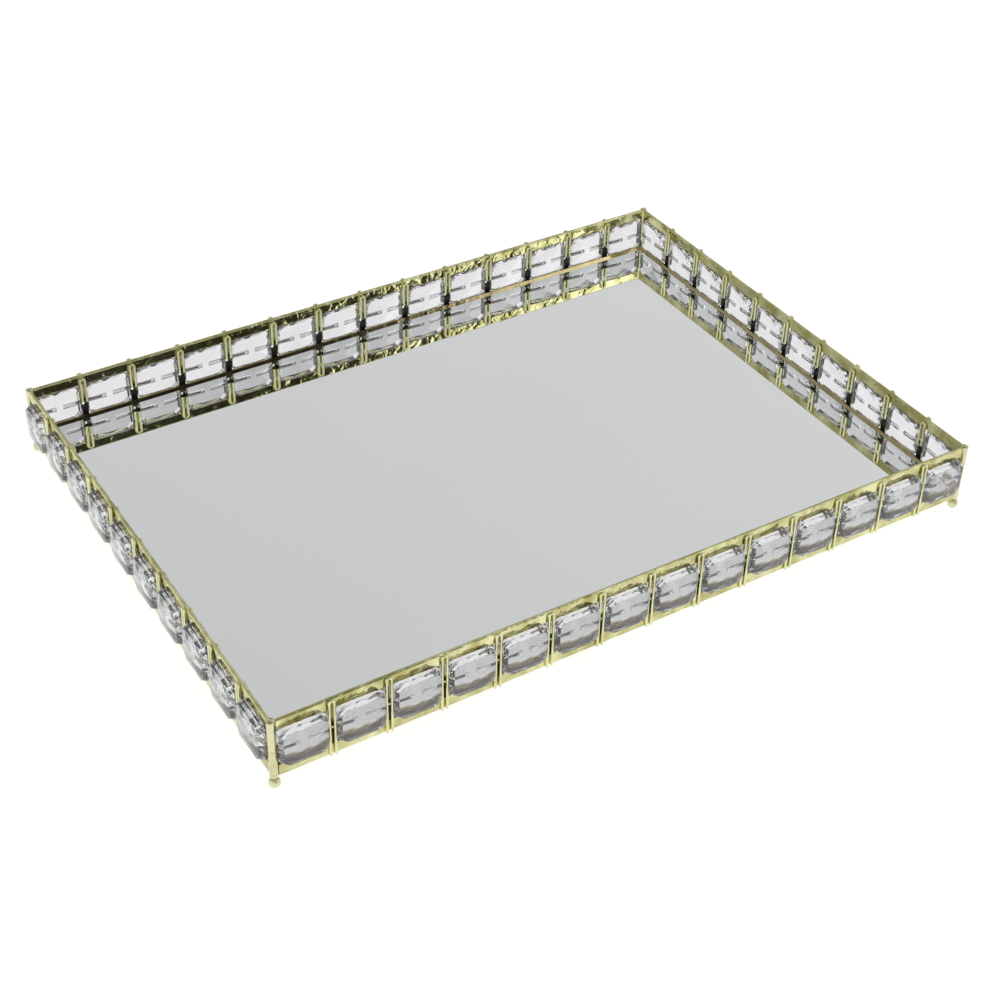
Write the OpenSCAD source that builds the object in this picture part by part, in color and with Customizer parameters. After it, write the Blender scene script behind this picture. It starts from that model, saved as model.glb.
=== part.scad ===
// Mirrored vanity tray with a wall of faceted crystals in a gold plated frame.
// X runs along the long side, Y along the short side and Z up.
// The origin is on the floor, in the middle of the four feet.

/* [Tray] */
// Number of crystals along each long side
long_cells = 14; // [4:1:20]
// Number of crystals along each short side
short_cells = 10; // [3:1:16]
// Spacing of the crystals along the long sides
long_pitch = 25; // [24.5:0.05:26]
// Spacing of the crystals along the short sides
short_pitch = 25.35; // [24.5:0.05:26]

/* [Frame] */
// Height of the top rail strip
rail_h = 5; // [3:0.1:6]
// Thickness of the rail strips
rail_t = 1.8; // [1.2:0.1:2]
// Height of the upright leg of the bottom rail
sill_h = 5.3; // [4.5:0.1:6]
// Thickness of the ledge of the bottom rail
ledge_t = 1.2; // [1:0.1:1.4]
// How far the ledge reaches in under the base
ledge_w = 9; // [5:0.5:14]
// Diameter of the corner posts
post_d = 3.6; // [3.2:0.1:3.6]

/* [Feet] */
// Diameter of the ball feet
foot_d = 5; // [4:0.1:5.2]
// Diameter of the small flat under each ball
foot_flat_d = 2.4; // [1.5:0.1:2.8]
// Height of the frame above the floor
wall_z = 5.6; // [5.2:0.1:8]
// Diameter of the studs that hold the feet
stud_d = 2; // [1.5:0.1:2.2]
// How far a stud reaches into its post
stud_depth = 8; // [4:0.5:10]

/* [Crystals] */
// Width of a crystal, along its wall
crystal_w = 21.3; // [19:0.1:21.3]
// Height of a crystal
crystal_h = 18.6; // [16:0.1:21]
// Length cut off each corner of a crystal
crystal_corner = 2.6; // [1.5:0.1:4]
// How far the outer table stands out from the middle of the wall
crystal_out = 5.4; // [5:0.1:6.5]
// How far the inner table stands in from the middle of the wall
crystal_in = 2.6; // [2.2:0.1:2.6]
// Diameter of the holes in the sides of a crystal
crystal_bore_d = 2.2; // [1.6:0.1:2.2]
// Depth of those holes
crystal_bore_depth = 9; // [6:0.5:9.5]

/* [Wires] */
// Diameter of the divider wire
wire_d = 1.3; // [1:0.05:1.3]
// Spacing of the two legs of a hairpin
leg_gap = 2.3; // [2:0.1:2.3]
// Diameter of the cross pins that carry the crystals
pin_d = 1.6; // [1.2:0.1:1.6]
// How far the pins of the long walls reach into the crystals on their +X side
pin_reach = 7; // [4:0.5:8]
// How far the other ends of the pins reach into the crystals
pin_heel = 2.5; // [2:0.5:4]
// How far the inner hairpins end below the top of the rail
inner_drop = 1.5; // [0:0.1:3]
// Height of the black spacers between the crystals
spacer_h = 6.4; // [3:0.1:7]

/* [Base] */
// Thickness of the mirror glass
mirror_t = 2; // [2:0.5:4]
// Thickness of the mirror tape
tape_t = 0.5; // [0.3:0.1:1]
// Width of the tape strips
tape_w = 20; // [10:1:30]
// Number of tape strips
tape_count = 5; // [2:1:8]
// Thickness of the backing board
board_t = 3.6; // [2:0.1:4]
// Thickness of the felt under the base
felt_t = 0.8; // [0.5:0.1:0.9]
// Gap between the middle of the wall and the mirror's edge
mirror_inset = 3.5; // [3.5:0.1:4.2]
// Thickness of the strip round the mirror's edge
rim_t = 0.8; // [0.6:0.1:0.8]
// Height of that strip above the mirror
rim_rise = 1.1; // [0.5:0.1:1.5]
// Height of that strip below the mirror's face
rim_grip = 0.7; // [0.5:0.1:1.5]

/* [Hidden] */
$fn = 48;
tray_l = long_cells * long_pitch;
tray_w = short_cells * short_pitch;

foot_centre = sqrt(pow(foot_d / 2, 2) - pow(foot_flat_d / 2, 2));
sill_z = wall_z + sill_h;
crystal_room = 0.2;
crystal_z = sill_z + (crystal_h + crystal_room) / 2;
rail_z = sill_z + crystal_h + crystal_room;
rail_top = rail_z + rail_h;
ledge_top = wall_z + ledge_t;

board_z = ledge_top;
tape_z = board_z + board_t;
mirror_z = tape_z + tape_t;
felt_z = ledge_top - felt_t;
board_play = 0.4;
board_gap = rail_t / 2 + board_play;
rim_inset = mirror_inset - rim_t;
rim_z = mirror_z + mirror_t - rim_grip;

crystal_squash = crystal_h / crystal_w;
table_half = 3.2;
crown_half = 9.5;
crown_corner = 2.2;
crown_out = crystal_out - 1;
girdle_out = crown_out - 2.2;
girdle_in = 1.4;
crown_in = crystal_in - 0.5;
spacer_play = 0.25;
spacer_w = min(long_pitch, short_pitch) - crystal_w - 2 * spacer_play;
pin_socket = 1;
cap_h = 0.6;
cap_root = 1;
round_z = rail_top - rail_t / 2;
leg_out = (rail_t + wire_d) / 2;
arch_h = (leg_gap + wire_d) / 2;
step = 0.01;

LONG = [long_cells, long_pitch];
SHORT = [short_cells, short_pitch];

// Places a wall that is drawn along X, with its outside towards -Y.
module on_front() translate([0, -tray_w / 2, 0]) children();
module on_rear() rotate([0, 0, 180]) translate([0, -tray_w / 2, 0]) children();
module on_left() rotate([0, 0, -90]) translate([0, -tray_l / 2, 0]) children();
module on_right() rotate([0, 0, 90]) translate([0, -tray_l / 2, 0]) children();

// Distance along a wall from its middle to the line between cells i - 1 and i.
function cell_edge(wall, i) = (i - wall[0] / 2) * wall[1];

// Corner posts, drawn at +X or -X and +Y or -Y.
module corner_post(sx, sy) {
    color("khaki")
    translate([sx * tray_l / 2, sy * tray_w / 2, 0])
    difference() {
        union() {
            translate([0, 0, wall_z]) cylinder(d = post_d, h = rail_top - wall_z - cap_root / 2);
            translate([0, 0, rail_top]) post_cap();
        }
        translate([0, 0, wall_z - step]) cylinder(d = stud_d, h = stud_depth + step);
        translate([0, 0, crystal_z]) {
            rotate([0, -sx * 90, 0]) pin_hole();
            rotate([sy * 90, 0, 0]) pin_hole();
        }
    }
}

// A blind hole for a crystal pin, cut upwards into the side of a post.
module pin_hole() {
    translate([0, 0, post_d / 2 - pin_socket]) cylinder(d = pin_d, h = post_d);
}

// The shallow dome that ends a post, with a root that goes down into it.
module post_cap() {
    cap_r = (pow(post_d / 2, 2) + pow(cap_h, 2)) / (2 * cap_h);
    intersection() {
        translate([0, 0, cap_h - cap_r]) sphere(r = cap_r);
        translate([0, 0, -cap_root]) cylinder(d = post_d, h = cap_h + cap_root);
    }
}

// A ball foot with a flat below and a tapped hole above.
module foot(sx, sy) {
    color("khaki")
    translate([sx * tray_l / 2, sy * tray_w / 2, foot_centre])
    difference() {
        intersection() {
            sphere(d = foot_d);
            translate([0, 0, -foot_centre]) cylinder(d = foot_d + 1, h = foot_d + 1);
        }
        cylinder(d = stud_d, h = foot_d);
    }
}

module foot_studs() {
    color("darkkhaki")
    for (sx = [-1, 1], sy = [-1, 1])
        translate([sx * tray_l / 2, sy * tray_w / 2, foot_centre])
            cylinder(d = stud_d, h = wall_z + stud_depth - foot_centre);
}

// A flat strip on edge between two posts, with a rounded top edge.
module top_rail(wall) {
    run = wall[0] * wall[1] - post_d;
    color("khaki")
    union() {
        translate([-run / 2, -rail_t / 2, rail_z]) cube([run, rail_t, round_z - rail_z]);
        translate([-run / 2, 0, round_z]) rotate([0, 90, 0]) cylinder(d = rail_t, h = run);
    }
}

// An angle section: an upright leg under the crystals and a mitred ledge under the base.
module bottom_rail(wall) {
    run = wall[0] * wall[1];
    leg = run - post_d;
    start = post_d / 2;
    color("khaki")
    union() {
        translate([-leg / 2, -rail_t / 2, wall_z]) cube([leg, rail_t, sill_h]);
        translate([0, 0, wall_z])
            linear_extrude(ledge_t)
                polygon([
                    [-leg / 2, 0],
                    [leg / 2, 0],
                    [leg / 2, start],
                    [run / 2 - ledge_w, ledge_w],
                    [-run / 2 + ledge_w, ledge_w],
                    [-leg / 2, start]
                ]);
    }
}

// Two upright legs that start at leg_z and an arch that joins them, up to top_z.
module hairpin(leg_z, top_z) {
    arch_z = top_z - arch_h;
    union() {
        for (side = [-1, 1])
            translate([side * leg_gap / 2, 0, leg_z]) cylinder(d = wire_d, h = arch_z - leg_z);
        translate([0, 0, arch_z])
            rotate([90, 0, 0])
                rotate_extrude(angle = 180)
                    translate([leg_gap / 2, 0]) circle(d = wire_d);
    }
}

// A divider is a long hairpin outside the top rail and a short one inside, down to the crystal pins.
module dividers(wall) {
    color("palegoldenrod")
    for (i = [1 : wall[0] - 1])
        translate([cell_edge(wall, i), 0, 0]) {
            translate([0, -leg_out, 0]) hairpin(wall_z, rail_top);
            translate([0, leg_out, 0]) hairpin(crystal_z, rail_top - inner_drop);
        }
}

// Black blocks that stand on the bottom rail between the crystals, below the pins.
module spacers(wall) {
    color("black")
    for (i = [1 : wall[0] - 1])
        translate([cell_edge(wall, i) - spacer_w / 2, -rail_t / 2, sill_z])
            cube([spacer_w, rail_t, spacer_h]);
}

// A pin across each divider, and a short one out of the post at each end.
// Its ends reach into the crystals by ahead, towards +X of the wall, and by behind, towards -X.
module crystal_pins(wall, ahead, behind) {
    gap = (wall[1] - crystal_w) / 2;
    end = wall[0] * wall[1] / 2;
    socket = post_d / 2 - pin_socket;
    color("darkkhaki")
    translate([0, 0, crystal_z]) {
        for (i = [1 : wall[0] - 1])
            pin(cell_edge(wall, i) - gap - behind, cell_edge(wall, i) + gap + ahead);
        pin(-end + socket, -end + gap + ahead);
        pin(end - gap - behind, end - socket);
    }
}

module pin(start, end) {
    translate([start, 0, 0]) rotate([0, 90, 0]) cylinder(d = pin_d, h = end - start);
}

// Rings of a crystal, drawn square and squashed to its height. They run anticlockwise, seen from outside.
function turned(p, k) =
    k == 0 ? p : turned([-p[1], p[0]], k - 1);
function octagon(half, corner, y) = [
    for (k = [0 : 3], e = [-1, 1])
        let (p = turned([half, e * (half - corner)], k)) [p[0], y, p[1] * crystal_squash]
];
function diamond(half, y) = [
    for (k = [0 : 3])
        let (p = turned([half, 0], k)) [p[0], y, p[1] * crystal_squash]
];

// Facets between a diamond table, whose points start at t, and an octagon that starts at g.
function table_facets(t, g) = [
    for (k = [0 : 3])
        each [
            [t + k, g + 2 * k + 1, g + 2 * k],
            [t + k, t + (k + 1) % 4, g + (2 * k + 2) % 8, g + 2 * k + 1]
        ]
];
// Facets between an octagon that starts at a and the next one back, which starts at b.
function belt_facets(a, b) = [
    for (i = [0 : 7])
        let (j = (i + 1) % 8) [a + i, a + j, b + j, b + i]
];
function flipped(faces) = [
    for (f = faces) [for (i = [len(f) - 1 : -1 : 0]) f[i]]
];

module crystal_body() {
    half = crystal_w / 2;
    outer_table = diamond(table_half, -crystal_out);
    outer_crown = octagon(crown_half, crown_corner, -crown_out);
    outer_girdle = octagon(half, crystal_corner, -girdle_out);
    inner_girdle = octagon(half, crystal_corner, girdle_in);
    inner_crown = octagon(crown_half, crown_corner, crown_in);
    inner_table = diamond(table_half, crystal_in);
    polyhedron(
        points = concat(
            outer_table, outer_crown, outer_girdle,
            inner_girdle, inner_crown, inner_table
        ),
        faces = concat(
            [[3, 2, 1, 0]],
            table_facets(0, 4),
            belt_facets(4, 12),
            belt_facets(12, 20),
            belt_facets(20, 28),
            flipped(table_facets(36, 28)),
            [[36, 37, 38, 39]]
        ),
        convexity = 2
    );
}

module crystal() {
    difference() {
        crystal_body();
        for (side = [-1, 1])
            rotate([0, side * 90, 0])
                translate([0, 0, crystal_w / 2 - crystal_bore_depth])
                    cylinder(d = crystal_bore_d, h = crystal_bore_depth + 1);
    }
}

module crystals(wall) {
    color("lavender")
    for (i = [0 : wall[0] - 1])
        translate([cell_edge(wall, i + 0.5), 0, crystal_z]) crystal();
}

// A rectangular sheet, set in from the middle of the wall all round.
module sheet(inset, z, t) {
    translate([-tray_l / 2 + inset, -tray_w / 2 + inset, z])
        cube([tray_l - 2 * inset, tray_w - 2 * inset, t]);
}

module mirror_glass() {
    color("gainsboro") sheet(mirror_inset, mirror_z, mirror_t);
}

// A narrow strip round the mirror's edge that rises a little above its face.
module mirror_rim() {
    rim_h = rim_grip + rim_rise;
    color("khaki")
    difference() {
        sheet(rim_inset, rim_z, rim_h);
        sheet(mirror_inset, rim_z - step, rim_h + 2 * step);
    }
}

module mirror_tape() {
    margin = 15;
    strip_l = tray_w - 2 * (mirror_inset + margin);
    spacing = (tray_l - 2 * (mirror_inset + margin) - tape_w) / (tape_count - 1);
    color("white")
    for (i = [0 : tape_count - 1])
        translate([(i - (tape_count - 1) / 2) * spacing - tape_w / 2, -strip_l / 2, tape_z])
            cube([tape_w, strip_l, tape_t]);
}

module backing_board() {
    color("burlywood") sheet(board_gap, board_z, board_t);
}

module base_felt() {
    color("dimgray") sheet(ledge_w + 1, felt_z, felt_t);
}

on_front() top_rail(LONG);  // top_rail_front
on_rear() top_rail(LONG);  // top_rail_rear
on_left() top_rail(SHORT);  // top_rail_left
on_right() top_rail(SHORT);  // top_rail_right
on_front() bottom_rail(LONG);  // bottom_rail_front
on_rear() bottom_rail(LONG);  // bottom_rail_rear
on_left() bottom_rail(SHORT);  // bottom_rail_left
on_right() bottom_rail(SHORT);  // bottom_rail_right
corner_post(-1, -1);  // corner_post_front_left
corner_post(1, -1);  // corner_post_front_right
corner_post(-1, 1);  // corner_post_rear_left
corner_post(1, 1);  // corner_post_rear_right
foot(-1, -1);  // foot_front_left
foot(1, -1);  // foot_front_right
foot(-1, 1);  // foot_rear_left
foot(1, 1);  // foot_rear_right
foot_studs();
on_front() dividers(LONG);  // dividers_front
on_rear() dividers(LONG);  // dividers_rear
on_left() dividers(SHORT);  // dividers_left
on_right() dividers(SHORT);  // dividers_right
on_front() crystal_pins(LONG, pin_reach, pin_heel);  // crystal_pins_front
on_rear() crystal_pins(LONG, pin_heel, pin_reach);  // crystal_pins_rear
on_left() crystal_pins(SHORT, pin_heel, pin_heel);  // crystal_pins_left
on_right() crystal_pins(SHORT, pin_heel, pin_heel);  // crystal_pins_right
on_front() crystals(LONG);  // crystals_front
on_rear() crystals(LONG);  // crystals_rear
on_left() crystals(SHORT);  // crystals_left
on_right() crystals(SHORT);  // crystals_right
on_front() spacers(LONG);  // spacers_front
on_rear() spacers(LONG);  // spacers_rear
on_left() spacers(SHORT);  // spacers_left
on_right() spacers(SHORT);  // spacers_right
mirror_glass();  // mirror
mirror_rim();
mirror_tape();
backing_board();
base_felt();
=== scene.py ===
"""Looks for the mirrored crystal vanity tray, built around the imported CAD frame. Metres, +Z up."""
import math

import bmesh
import bpy
from mathutils import Matrix, Vector


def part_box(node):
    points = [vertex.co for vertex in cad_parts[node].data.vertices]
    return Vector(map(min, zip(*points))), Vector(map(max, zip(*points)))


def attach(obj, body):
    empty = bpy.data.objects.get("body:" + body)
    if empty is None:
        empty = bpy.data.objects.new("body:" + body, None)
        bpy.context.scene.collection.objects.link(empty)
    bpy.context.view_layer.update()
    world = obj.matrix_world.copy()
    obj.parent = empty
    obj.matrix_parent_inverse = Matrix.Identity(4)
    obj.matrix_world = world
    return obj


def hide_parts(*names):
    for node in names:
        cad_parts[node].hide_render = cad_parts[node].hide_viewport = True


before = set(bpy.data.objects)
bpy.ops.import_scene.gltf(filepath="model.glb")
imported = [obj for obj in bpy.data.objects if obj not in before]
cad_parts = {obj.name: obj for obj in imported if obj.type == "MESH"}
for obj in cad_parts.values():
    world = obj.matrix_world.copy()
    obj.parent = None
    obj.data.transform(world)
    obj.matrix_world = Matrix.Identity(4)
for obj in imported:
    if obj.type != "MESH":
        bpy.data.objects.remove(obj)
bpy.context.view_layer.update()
MM = 0.001
WALLS = ("front", "rear", "left", "right")
CORNERS = ("front_left", "front_right", "rear_left", "rear_right")
CELLS = {"front": 14, "rear": 14, "left": 10, "right": 10}
TURN = {"front": 0, "right": 90, "rear": 180, "left": -90}


# ---------------------------------------------------------------- places taken from the frame
def centre(node):
    """Middle of a CAD node's box."""
    low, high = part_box(node)
    return (low + high) / 2


POST_X = centre("corner_post_front_right").x
POST_Y = centre("corner_post_rear_right").y
CRYSTAL_Z = centre("crystals_front").z
MIRROR_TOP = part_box("mirror")[1].z


def wall_run(wall):
    """Length of a wall between its corner posts."""
    return 2 * (POST_X if wall in ("front", "rear") else POST_Y)


def on_wall(wall):
    """Matrix that places a wall drawn along X, with its outside towards -Y and its middle at the origin."""
    out = POST_Y if wall in ("front", "rear") else POST_X
    return Matrix.Rotation(math.radians(TURN[wall]), 4, "Z") @ Matrix.Translation((0, -out, 0))


def sine(degrees):
    return math.sin(math.radians(degrees))


def cosine(degrees):
    return math.cos(math.radians(degrees))


# ---------------------------------------------------------------- material helpers
class Look:
    """A material with a Principled shader, and short ways to add what feeds it."""

    def __init__(self, name, **values):
        self.mat = bpy.data.materials.new(name)
        self.mat.use_nodes = True
        self.tree = self.mat.node_tree
        self.bsdf = self.tree.nodes["Principled BSDF"]
        self.place = self.tree.nodes.new("ShaderNodeTexCoord").outputs["Object"]
        self.set(**values)

    def set(self, **values):
        """Holds shader sockets at a value, named with _ for each space."""
        for key, value in values.items():
            self.bsdf.inputs[key.replace("_", " ")].default_value = value

    def node(self, kind, **inputs):
        """Adds a node and sets its inputs, named with _ for each space."""
        made = self.tree.nodes.new("ShaderNode" + kind)
        for key, value in inputs.items():
            made.inputs[key.replace("_", " ")].default_value = value
        return made

    def link(self, source, target):
        self.tree.links.new(source, target)

    def noise(self, scale, detail=3.0, roughness=0.5, distortion=0.0, stretch=None):
        """Noise over the object, with scale in cells per metre. stretch packs it closer along an axis."""
        made = self.node("TexNoise", Scale=scale, Detail=detail, Roughness=roughness, Distortion=distortion)
        place = self.place
        if stretch:
            mapping = self.node("Mapping", Scale=stretch)
            self.link(place, mapping.inputs["Vector"])
            place = mapping.outputs["Vector"]
        self.link(place, made.inputs["Vector"])
        return made.outputs["Fac"]

    def tint(self, source, dark, light, low=0.3, high=0.7):
        """Base colour from dark to light while the source goes from low to high."""
        made = self.node("ValToRGB")
        first, last = made.color_ramp.elements
        first.position = low
        first.color = (*dark, 1)
        last.position = high
        last.color = (*light, 1)
        self.link(source, made.inputs["Fac"])
        self.link(made.outputs["Color"], self.bsdf.inputs["Base Color"])

    def shine(self, source, smooth, rough, low=0.3, high=0.7):
        """Roughness from smooth to rough while the source goes from low to high."""
        made = self.node("MapRange", From_Min=low, From_Max=high, To_Min=smooth, To_Max=rough)
        self.link(source, made.inputs["Value"])
        self.link(made.outputs["Result"], self.bsdf.inputs["Roughness"])

    def bump(self, *layers):
        """Each layer is (height source, distance in metres, strength)."""
        previous = None
        for source, distance, strength in layers:
            made = self.node("Bump", Distance=distance, Strength=strength)
            self.link(source, made.inputs["Height"])
            if previous:
                self.link(previous, made.inputs["Normal"])
            previous = made.outputs["Normal"]
        self.link(previous, self.bsdf.inputs["Normal"])


def gold(name, light, dark, ripple, polish=0.12):
    """Plated metal, blotched between two golds and rippled, with a roughness near polish."""
    look = Look(name, Metallic=1.0)
    look.tint(look.noise(70, 3, 0.6, 0.8), dark, light, 0.35, 0.65)
    look.shine(look.noise(420), polish * 0.6, polish * 1.2)
    ripples = look.noise(140, 2, 0.5, 0.6)
    grain = look.noise(900, 2)
    look.bump((ripples, 1.5 * MM, ripple), (grain, 0.1 * MM, 0.1))
    return look.mat


def crystal_glass():
    """Clear glass with a slight milkiness and very slight waves."""
    look = Look("crystal_glass", Roughness=0.0, IOR=1.53, Transmission_Weight=0.93)
    look.tint(look.noise(60, 2), (0.85, 0.845, 0.86), (0.92, 0.915, 0.93))
    look.bump((look.noise(120, 2), 0.3 * MM, 0.03))
    return look.mat


def mirror_silver():
    look = Look("mirror_silver", Metallic=1.0)
    look.tint(look.noise(9, 3, 0.55, 0.3), (0.93, 0.945, 0.94), (0.945, 0.955, 0.955))
    look.shine(look.noise(40, 4, 0.6), 0.0, 0.02, 0.3, 0.75)
    return look.mat


def stud_steel():
    look = Look("stud_steel", Metallic=1.0)
    look.tint(look.noise(300), (0.30, 0.30, 0.30), (0.50, 0.50, 0.49))
    look.shine(look.noise(700, 2), 0.25, 0.45)
    return look.mat


# The near-black finish of the blocks between the crystals, with a slight gloss.
def near_black_blocks():
    look = Look("near_black_blocks")
    look.tint(look.noise(300), (0.006, 0.006, 0.005), (0.018, 0.016, 0.013))
    look.shine(look.noise(600, 2), 0.35, 0.55)
    return look.mat


def foam_tape():
    look = Look("foam_tape")
    look.tint(look.noise(500), (0.80, 0.80, 0.78), (0.92, 0.92, 0.90))
    look.shine(look.noise(900, 2), 0.7, 0.95)
    look.bump((look.noise(1500), 0.1 * MM, 0.5))
    return look.mat


def hardboard():
    look = Look("hardboard")
    fibres = look.noise(220, 6, 0.65, 1.2, stretch=(1, 1, 6))
    look.tint(fibres, (0.12, 0.065, 0.03), (0.28, 0.17, 0.085))
    look.shine(fibres, 0.55, 0.8)
    look.bump((fibres, 0.2 * MM, 0.5))
    return look.mat


def black_felt():
    look = Look("black_felt", Roughness=0.95, Sheen_Weight=0.4, Sheen_Roughness=0.6)
    fuzz = look.noise(1400, 6, 0.7, 1.5)
    look.tint(fuzz, (0.010, 0.010, 0.011), (0.045, 0.045, 0.048))
    look.bump((fuzz, 0.4 * MM, 0.8))
    return look.mat


def finish_node(node, material):
    """Gives a CAD node that stays its finished material."""
    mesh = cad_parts[node].data
    mesh.materials.clear()
    mesh.materials.append(material)


# ---------------------------------------------------------------- crystals
# Half the width of the girdle, and of the crown inside it. Both are squares with cut corners.
CRYSTAL_HALF = 10.65 * MM
CORNER = 2.6 * MM
CROWN_HALF = 9.5 * MM
CROWN_CORNER = 2.2 * MM
# Half the diagonal of the diamond-shaped table.
TABLE_HALF = 3.2 * MM
# Depths of the outer and the inner face's steps. The outside is towards -Y.
OUTER_TABLE = -5.4 * MM
OUTER_CROWN = -4.4 * MM
OUTER_GIRDLE = -2.2 * MM
INNER_GIRDLE = 1.4 * MM
INNER_CROWN = 2.1 * MM
INNER_TABLE = 2.6 * MM
# The blind hole in each side.
BORE_R = 1.1 * MM
BORE_DEPTH = 9 * MM
# How far the narrow flat along every edge is set back from that edge.
FACET_EDGE = 0.12 * MM


def quarter_turns(x, z):
    """A point and its three turns about the crystal's middle."""
    return ((x, z), (-z, x), (-x, -z), (z, -x))


def diamond(half, y):
    return [(x, y, z) for x, z in quarter_turns(half, 0)]


def octagon(half, corner, y):
    return [(x, y, z) for side in (-1, 1) for x, z in quarter_turns(half, side * (half - corner))]


def crystal_mesh():
    """One crystal round the origin, as tall as the CAD's crystals, with a blind hole in each side."""
    low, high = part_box("crystals_front")
    squash = (high.z - low.z) / (2 * CRYSTAL_HALF)
    points = (
        diamond(TABLE_HALF, OUTER_TABLE)
        + octagon(CROWN_HALF, CROWN_CORNER, OUTER_CROWN)
        + octagon(CRYSTAL_HALF, CORNER, OUTER_GIRDLE)
        + octagon(CRYSTAL_HALF, CORNER, INNER_GIRDLE)
        + octagon(CROWN_HALF, CROWN_CORNER, INNER_CROWN)
        + diamond(TABLE_HALF, INNER_TABLE)
    )
    bm = bmesh.new()
    for x, y, z in points:
        bm.verts.new((x, y, z * squash))
    bmesh.ops.convex_hull(bm, input=bm.verts)
    bmesh.ops.dissolve_limit(bm, angle_limit=math.radians(1), verts=bm.verts, edges=bm.edges)
    bmesh.ops.bevel(bm, geom=list(bm.edges), offset=FACET_EDGE, segments=1, affect="EDGES", profile=0.5)
    bmesh.ops.recalc_face_normals(bm, faces=bm.faces)
    return cut_bores(to_mesh("crystal", bm))


def to_mesh(name, bm):
    """Turns a bmesh into a mesh and frees it."""
    mesh = bpy.data.meshes.new(name)
    bm.to_mesh(mesh)
    bm.free()
    return mesh


def to_object(name, mesh):
    made = bpy.data.objects.new(name, mesh)
    bpy.context.scene.collection.objects.link(made)
    return made


def cut_bores(mesh):
    """Cuts the two side holes and returns the finished mesh."""
    bm = bmesh.new()
    for side in (-1, 1):
        place = Matrix.Translation((side * CRYSTAL_HALF, 0, 0)) @ Matrix.Rotation(math.pi / 2, 4, "Y")
        bmesh.ops.create_cone(bm, cap_ends=True, segments=24, radius1=BORE_R, radius2=BORE_R,
                              depth=2 * BORE_DEPTH, matrix=place)
    body = to_object("crystal_body", mesh)
    cutter = to_object("crystal_cutter", to_mesh("bores", bm))
    cut = body.modifiers.new("bores", "BOOLEAN")
    cut.operation = "DIFFERENCE"
    cut.solver = "EXACT"
    cut.object = cutter
    done = bpy.data.meshes.new_from_object(body.evaluated_get(bpy.context.evaluated_depsgraph_get()))
    for helper in (body, cutter):
        bpy.data.objects.remove(helper)
    return done


def wall_of_crystals(wall, one, material):
    """All the crystals of a wall, as one piece of separate closed shells."""
    count = CELLS[wall]
    pitch = wall_run(wall) / count
    bm = bmesh.new()
    for i in range(count):
        place = on_wall(wall) @ Matrix.Translation(((i + 0.5 - count / 2) * pitch, 0, CRYSTAL_Z))
        start = len(bm.verts)
        bm.from_mesh(one)
        bm.verts.ensure_lookup_table()
        bmesh.ops.transform(bm, matrix=place, verts=bm.verts[start:])
    piece = add_piece(f"crystal_row_{wall}", bm, material)
    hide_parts(f"crystals_{wall}")


def add_piece(name, bm, material):
    """Adds a piece that belongs to the tray's one body."""
    mesh = to_mesh(name, bm)
    mesh.materials.append(material)
    piece = to_object(name, mesh)
    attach(piece, "root")
    return piece


# ---------------------------------------------------------------- finishes and pieces
# The lighter and the darker colour of each metal's blotches. The pins' near-black pair is painted shade,
# which makes the crystals' side holes look dark.
PLATE_COLOURS = (0.80, 0.78, 0.44), (0.44, 0.41, 0.16)
WIRE_COLOURS = (0.80, 0.79, 0.50), (0.68, 0.66, 0.36)
POLISHED_COLOURS = (0.74, 0.72, 0.44), (0.62, 0.59, 0.33)
RIM_COLOURS = (0.54, 0.45, 0.24), (0.40, 0.32, 0.16)
# Painted shade: the pins are near-black instead of gold, so that the holes in the crystals read dark.
PIN_SHADE_COLOURS = (0.08, 0.07, 0.04), (0.025, 0.02, 0.012)

plate = gold("gold_plate", *PLATE_COLOURS, ripple=0.35)
wire = gold("gold_wire", *WIRE_COLOURS, ripple=0.3)
polished = gold("gold_polished", *POLISHED_COLOURS, ripple=0.05, polish=0.1)
rim = gold("rim_gold", *RIM_COLOURS, ripple=0.1)
# Painted shade: near-black pin metal that darkens the crystals' side holes.
pin = gold("pin_metal", *PIN_SHADE_COLOURS, ripple=0.2, polish=0.25)
spacer = near_black_blocks()
for wall in WALLS:
    finish_node(f"top_rail_{wall}", plate)
    finish_node(f"bottom_rail_{wall}", plate)
    finish_node(f"dividers_{wall}", wire)
    finish_node(f"crystal_pins_{wall}", pin)
    finish_node(f"spacers_{wall}", spacer)
for corner in CORNERS:
    finish_node(f"corner_post_{corner}", polished)
    finish_node(f"foot_{corner}", polished)
finish_node("foot_studs", stud_steel())
finish_node("mirror", mirror_silver())
finish_node("mirror_rim", rim)
finish_node("mirror_tape", foam_tape())
finish_node("backing_board", hardboard())
finish_node("base_felt", black_felt())

glass = crystal_glass()
shared_crystal = crystal_mesh()
for wall in WALLS:
    wall_of_crystals(wall, shared_crystal, glass)


# ---------------------------------------------------------------- studio
# Azimuths count from -Y towards +X. All angles are in degrees.
SKY_COLOUR = (0.985, 1.0, 0.995)
# Brightness of the walls at the horizon, and how it changes towards an azimuth and upwards.
ROOM_LEVEL = 0.715
BRIGHTER_SIDE = 95
BRIGHTER_BY = 0.12
DIMMER_UPWARDS = 0.25
# Where the ceiling begins and is complete, and its brightness.
CEILING = (62, 72)
CEILING_LEVEL = 0.3
# Patches of the walls: their azimuths, elevations, width of the soft edge, and brightness.
WALL_PATCHES = (
    ((31, 46), (24, 44), 5, 1.8),  # bright, at the front right
    ((-120, -8), (2, 40), 8, 0.9),  # pale, all along the camera's side
    ((9, 31), (22, 45), 5, 0.03),  # dark, beside the bright one
    ((137, 161), (3, 21), 5, 0.06),  # dark, low down across from the camera
)
# Half the light table's side, in metres, and its own brightness.
FLOOR_REACH = 12
FLOOR_GLOW = 0.86


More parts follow.
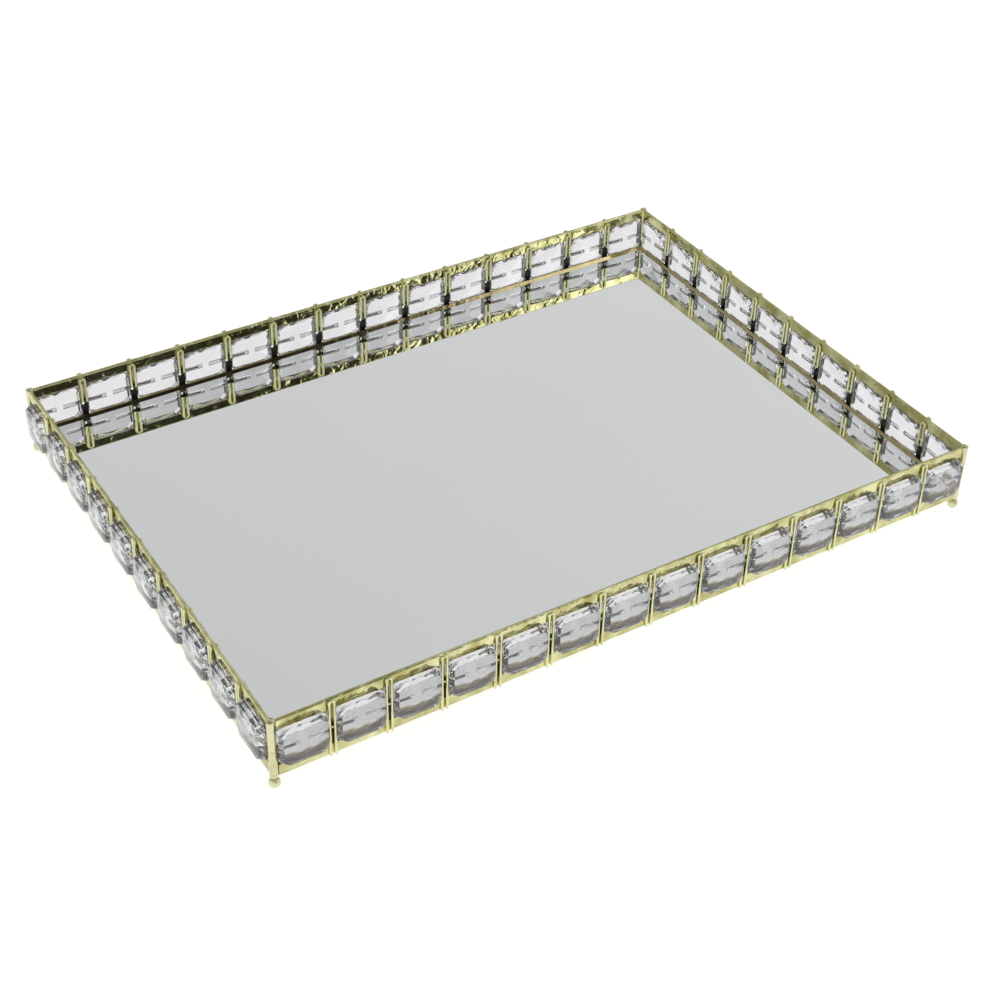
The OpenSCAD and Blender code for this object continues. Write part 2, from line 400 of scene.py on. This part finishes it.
class Sky:
    """The world's node tree, with masks for parts of the room by direction."""

    def __init__(self):
        world = bpy.data.worlds.new("studio")
        bpy.context.scene.world = world
        world.use_nodes = True
        self.tree = world.node_tree
        self.tree.nodes.clear()
        split = self.node("SeparateXYZ")
        self.tree.links.new(self.node("TexCoord").outputs["Generated"], split.inputs[0])
        self.x, self.y, self.z = split.outputs
        squares = [self.math("MULTIPLY", part, part) for part in (self.x, self.y)]
        self.level = self.math("MAXIMUM", self.math("SQRT", self.math("ADD", *squares)), 0.001)

    def node(self, kind):
        return self.tree.nodes.new("ShaderNode" + kind)

    def math(self, operation, *values):
        """Result of a Math node on numbers or on other nodes' outputs."""
        made = self.node("Math")
        made.operation = operation
        for socket, value in zip(made.inputs, values):
            if isinstance(value, (int, float)):
                socket.default_value = value
            else:
                self.tree.links.new(value, socket)
        return made.outputs[0]

    def step(self, value, low, high):
        """0 below low and 1 above high, or the other way round when low is the larger."""
        made = self.node("MapRange")
        made.interpolation_type = "SMOOTHSTEP"
        made.inputs["From Min"].default_value = min(low, high)
        made.inputs["From Max"].default_value = max(low, high)
        made.inputs["To Min"].default_value = 0.0 if low < high else 1.0
        made.inputs["To Max"].default_value = 1.0 if low < high else 0.0
        self.tree.links.new(value, made.inputs["Value"])
        return made.outputs["Result"]

    def facing(self, azimuth):
        """Cosine of the angle, seen from above, between a direction and an azimuth."""
        across = self.math("MULTIPLY", self.x, sine(azimuth))
        along = self.math("MULTIPLY", self.y, -cosine(azimuth))
        return self.math("DIVIDE", self.math("ADD", across, along), self.level)

    def patch(self, azimuths, elevations, soft):
        """Mask of the part of the room between two azimuths and two elevations."""
        middle = (azimuths[0] + azimuths[1]) / 2
        half = (azimuths[1] - azimuths[0]) / 2
        edge = soft / 2
        low, high = elevations
        across = self.step(self.facing(middle), cosine(half + edge), cosine(half - edge))
        above = self.step(self.z, sine(low - edge), sine(low + edge))
        below = self.step(self.z, sine(high + edge), sine(high - edge))
        return self.math("MULTIPLY", across, self.math("MULTIPLY", above, below))

    def blend(self, base, mask, value):
        """base where the mask is 0 and value where it is 1."""
        change = self.math("SUBTRACT", value, base)
        return self.math("ADD", base, self.math("MULTIPLY", mask, change))

    def finish(self, strength, colour):
        background = self.node("Background")
        background.inputs["Color"].default_value = (*colour, 1)
        self.tree.links.new(strength, background.inputs["Strength"])
        self.tree.links.new(background.outputs[0], self.node("OutputWorld").inputs["Surface"])


def studio_world():
    """A light grey room with a dim ceiling, and bright and dark patches on its walls."""
    sky = Sky()
    room = sky.math("ADD", ROOM_LEVEL, sky.math("MULTIPLY", sky.facing(BRIGHTER_SIDE), BRIGHTER_BY))
    room = sky.math("SUBTRACT", room, sky.math("MULTIPLY", sky.z, DIMMER_UPWARDS))
    for azimuths, elevations, soft, brightness in WALL_PATCHES:
        room = sky.blend(room, sky.patch(azimuths, elevations, soft), brightness)
    overhead = sky.step(sky.z, sine(CEILING[0]), sine(CEILING[1]))
    sky.finish(sky.blend(room, overhead, CEILING_LEVEL), SKY_COLOUR)


def studio_floor():
    """A white light table."""
    bm = bmesh.new()
    bmesh.ops.create_grid(bm, x_segments=1, y_segments=1, size=FLOOR_REACH)
    mesh = to_mesh("floor", bm)
    look = Look("light_table", Roughness=0.8, Emission_Color=(1, 1, 1, 1), Emission_Strength=FLOOR_GLOW)
    look.tint(look.noise(2, 2), (0.30, 0.30, 0.30), (0.34, 0.34, 0.34))
    look.mat.cycles.emission_sampling = "NONE"
    mesh.materials.append(look.mat)
    floor = to_object("floor", mesh)


def camera():
    """Looks down at the tray from beyond its front left corner, about 0.88 m from its middle."""
    azimuth = -32.615
    elevation = 37.748
    roll = 1.549
    location = Vector((-372.71 * MM, -591.53 * MM, MIRROR_TOP + 515.19 * MM))
    outward = Vector((sine(azimuth), -cosine(azimuth), 0))
    back = outward * cosine(elevation) + Vector((0, 0, sine(elevation)))
    level = Vector((cosine(azimuth), sine(azimuth), 0))
    right = level * cosine(roll) + back.cross(level) * sine(roll)
    up = back.cross(right)
    data = bpy.data.cameras.new("camera")
    data.sensor_width = 36
    data.lens = 66.807
    data.clip_start = 0.01
    data.clip_end = 50
    viewer = to_object("camera", data)
    viewer.matrix_world = Matrix.Translation(location) @ Matrix((right, up, back)).transposed().to_4x4()
    bpy.context.scene.camera = viewer


studio_world()
studio_floor()
camera()
bpy.context.scene.view_settings.view_transform = "Standard"
